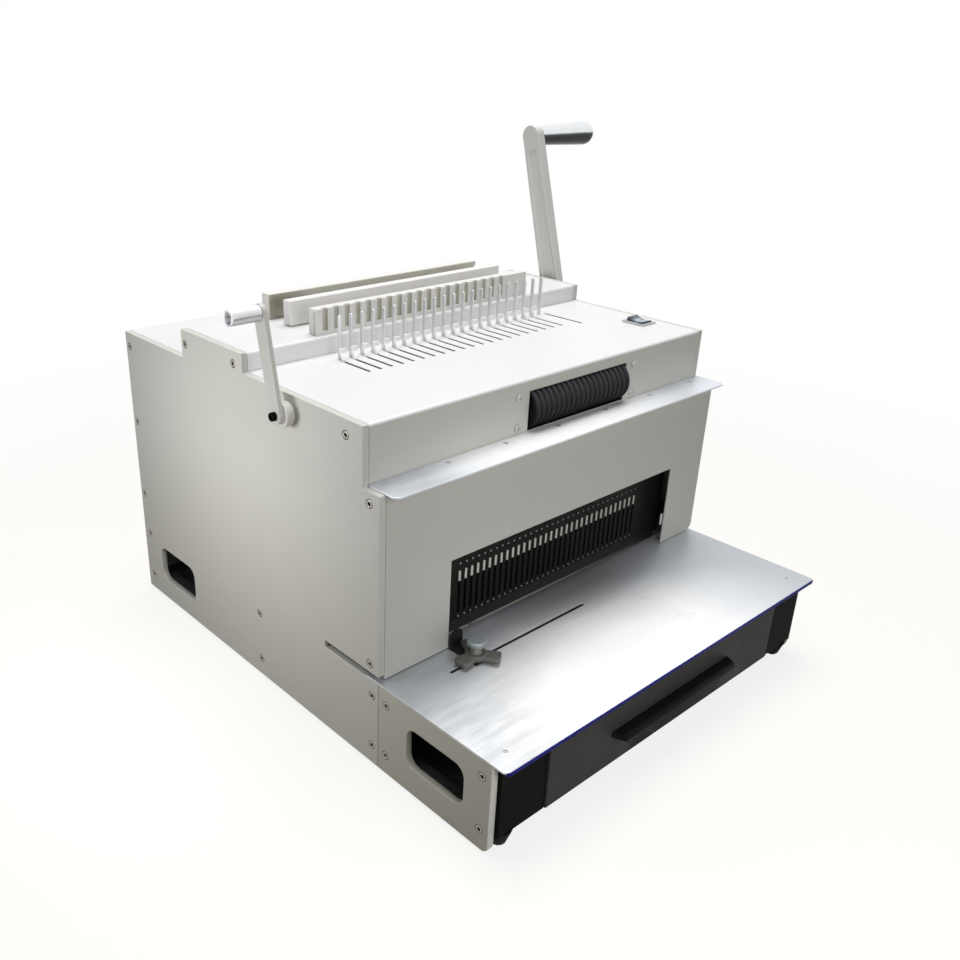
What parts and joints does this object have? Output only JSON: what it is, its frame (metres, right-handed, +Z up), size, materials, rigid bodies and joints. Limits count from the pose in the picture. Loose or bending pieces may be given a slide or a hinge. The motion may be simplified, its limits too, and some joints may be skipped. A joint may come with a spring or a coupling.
{
  "type": "wire binding machine",
  "caption": "Electric desktop binding machine: punch throat over a work table, comb opener with tines and hooks, wire closer with a side lever, coil roller, waste drawer.",
  "frame": {"origin": "middle of the footprint, on the bench", "axes": "+X to the machine's right seen from the front, +Y to the rear, +Z up"},
  "size_m": [0.6652, 0.621, 0.548],
  "materials": {
    "cream_paint": "fine satin powder coat",
    "white_paint": "satin powder coat",
    "stainless": "brushed along X",
    "plain_steel": "plain",
    "bright_steel": "polished",
    "zinc_screw": "plated",
    "blue_edge": "satin",
    "black_plastic": "satin",
    "drawer_grey": "satin",
    "black_die": "blackened",
    "black_rubber": "matt",
    "polished_grip": "polished",
    "cast_bar": "satin",
    "knob_metal": "cast"
  },
  "bodies": {
    "cabinet": {"left_side_panel": "cream_paint", "right_side_panel": "cream_paint", "left_base_panel": "cream_paint", "right_base_panel": "cream_paint", "side_screws": "zinc_screw", "small_screws": "zinc_screw", "base_plate": "plain_steel", "base_rails": "plain_steel", "corner_blocks": "plain_steel", "rubber_feet": "black_rubber", "rear_cover": "cream_paint", "mains_inlet": "black_plastic", "control_box": "plain_steel", "rear_deck": "white_paint", "upper_deck": "white_paint", "comb_deck": "white_paint", "fascia": "cream_paint", "tray_shelf": "stainless", "work_table": "stainless", "table_edge_strip": "blue_edge", "front_posts": "black_plastic", "die_matrix": "plain_steel", "punch_beam": "plain_steel", "die_front_plate": "black_die", "die_studs": "bright_steel", "sheet_lip": "black_die", "punch_frame": "plain_steel", "roller_brackets": "plain_steel", "drive_motors": "plain_steel", "comb_tines": "bright_steel", "comb_supports": "plain_steel", "slotted_wire_bar": "cast_bar", "anvil_bar": "cast_bar", "press_supports": "plain_steel", "shaft_bushes": "plain_steel", "switch_bezel": "black_plastic"},
    "comb_crank": {"crank_arm": "white_paint", "crank_grip": "polished_grip", "crank_screw": "black_plastic", "crank_shaft": "plain_steel"},
    "hook_slide": {"hook_carriage": "plain_steel", "comb_hooks": "white_paint"},
    "closing_lever": {"lever_arm": "cream_paint", "lever_grip": "polished_grip", "lever_shaft": "plain_steel"},
    "press_slide": {"press_carriage": "plain_steel", "press_bar": "cast_bar"},
    "waste_drawer": {"drawer_front": "drawer_grey", "drawer_bin": "plain_steel", "drawer_handle": "black_plastic"},
    "guide_slide": {"side_guide": "black_plastic"},
    "guide_knob": {"star_knob": "knob_metal"},
    "power_rocker": {"switch_rocker": "black_plastic"},
    "coil_roller": {"coil_roller": "black_rubber", "roller_shaft": "plain_steel"},
    "coil_pinion": {"coil_pinion": "plain_steel"},
    "punch_slide": {"punch_bar": "plain_steel", "punch_pins": "bright_steel"},
    "cam_shaft": {"cam_shaft": "plain_steel"},
    "punch_pinion": {"punch_pinion": "plain_steel"}
  },
  "joints": [
    {"name": "comb_crank_turn", "type": "hinge", "parent": "cabinet", "child": "comb_crank", "pos_m": [-0.25, -0.0205, 0.3255], "axis": [1, 0, 0], "range_deg": [0, 130]},
    {"name": "hook_travel", "type": "slide", "parent": "cabinet", "child": "hook_slide", "axis": [0, -1, 0], "range_m": [0, 0.02723]},
    {"name": "closing_lever_turn", "type": "hinge", "parent": "cabinet", "child": "closing_lever", "pos_m": [0.25, 0.0965, 0.306], "axis": [1, 0, 0], "range_deg": [0, 90]},
    {"name": "press_travel", "type": "slide", "parent": "cabinet", "child": "press_slide", "axis": [0, 1, 0], "range_m": [0, 0.01885]},
    {"name": "drawer_travel", "type": "slide", "parent": "cabinet", "child": "waste_drawer", "axis": [0, -1, 0], "range_m": [0, 0.2]},
    {"name": "guide_travel", "type": "slide", "parent": "cabinet", "child": "guide_slide", "axis": [1, 0, 0], "range_m": [-0.03, 0.15]},
    {"name": "knob_turn", "type": "hinge", "parent": "guide_slide", "child": "guide_knob", "pos_m": [-0.153, -0.1805, 0.108], "axis": [0, 0, 1], "continuous": true},
    {"name": "rocker_tilt", "type": "hinge", "parent": "cabinet", "child": "power_rocker", "pos_m": [0.2175, -0.0625, 0.343], "axis": [-1, 0, 0], "range_deg": [0, 14]},
    {"name": "roller_turn", "type": "hinge", "parent": "cabinet", "child": "coil_roller", "pos_m": [0.035, -0.1147, 0.311], "axis": [1, 0, 0], "continuous": true},
    {"name": "coil_pinion_turn", "type": "hinge", "parent": "cabinet", "child": "coil_pinion", "pos_m": [0.131, -0.0986, 0.311], "axis": [1, 0, 0], "continuous": true},
    {"name": "cam_turn", "type": "hinge", "parent": "cabinet", "child": "cam_shaft", "pos_m": [0, -0.113, 0.235], "axis": [1, 0, 0], "range_deg": [0, 240.01]},
    {"name": "punch_travel", "type": "slide", "parent": "cabinet", "child": "punch_slide", "axis": [0, 0, -1], "range_m": [0, 0.012]},
    {"name": "punch_pinion_turn", "type": "hinge", "parent": "cabinet", "child": "punch_pinion", "pos_m": [0.204, -0.0754, 0.235], "axis": [1, 0, 0], "range_deg": [-480.1, 0]}
  ],
  "couplings": [
    {"joint": "hook_travel", "follows": "comb_crank_turn", "m_per_rad": 0.012},
    {"joint": "press_travel", "follows": "closing_lever_turn", "m_per_rad": 0.012},
    {"joint": "coil_pinion_turn", "follows": "roller_turn", "ratio": -1.2857},
    {"joint": "cam_turn", "follows": "punch_travel", "rad_per_m": 349.07},
    {"joint": "punch_pinion_turn", "follows": "punch_travel", "rad_per_m": -698.13}
  ]
}
